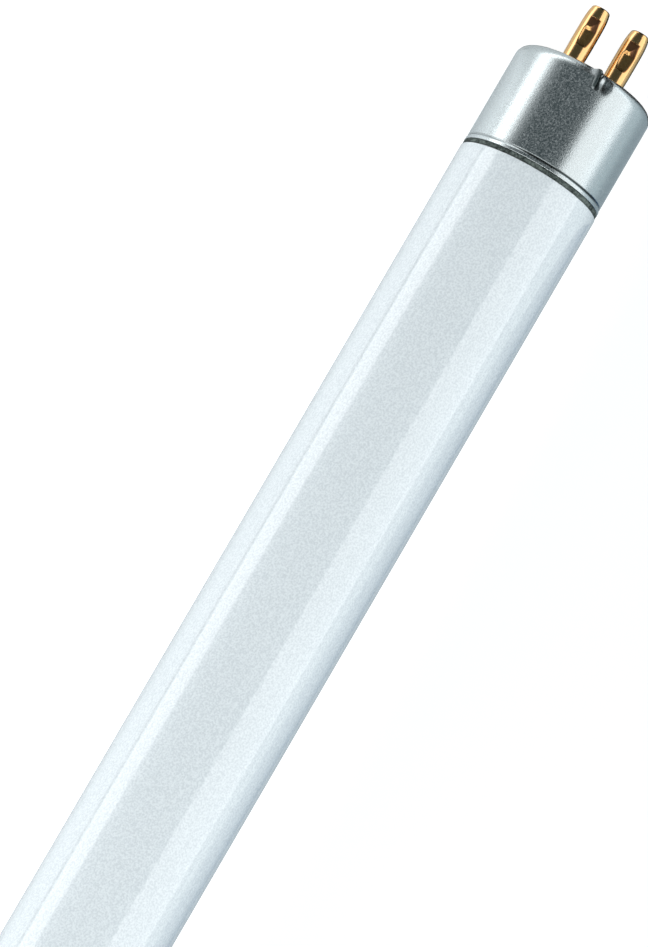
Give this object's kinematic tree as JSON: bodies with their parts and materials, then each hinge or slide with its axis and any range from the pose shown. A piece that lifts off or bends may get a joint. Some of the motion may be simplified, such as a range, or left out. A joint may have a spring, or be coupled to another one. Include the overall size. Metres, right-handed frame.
{
  "type": "fluorescent tube",
  "caption": "Straight miniature fluorescent lamp: a white-coated glass tube with a two-pin metal cap on each end, held and fed by its pins.",
  "frame": {"origin": "middle of the lamp, on its axis, half way between the end faces of the two caps", "axes": "+X along the lamp's axis to the end that the picture shows (end a), +Y along the line through the two pins of each cap, +Z square to the plane of the pins, through one stake of each cap"},
  "size_m": [0.302, 0.0154, 0.0154],
  "materials": {
    "coated_glass": "clear glass, glossy, over a matt bluish-white coating",
    "cap_aluminium": "satin drawn sheet",
    "pin_plate": "moulded phenolic, matt",
    "cap_cement": "set basing cement, matt",
    "pin_brass": "bright turned brass",
    "lead_wire": "plain drawn nickel-iron wire"
  },
  "bodies": {
    "root": {"glass_tube": "coated_glass", "cap_shell_a": "cap_aluminium", "pin_plate_a": "pin_plate", "cap_cement_a": "cap_cement", "contact_pin_1_a": "pin_brass", "contact_pin_2_a": "pin_brass", "lead_wire_1_a": "lead_wire", "lead_wire_2_a": "lead_wire", "cap_shell_b": "cap_aluminium", "pin_plate_b": "pin_plate", "cap_cement_b": "cap_cement", "contact_pin_1_b": "pin_brass", "contact_pin_2_b": "pin_brass", "lead_wire_1_b": "lead_wire", "lead_wire_2_b": "lead_wire"}
  },
  "joints": []
}
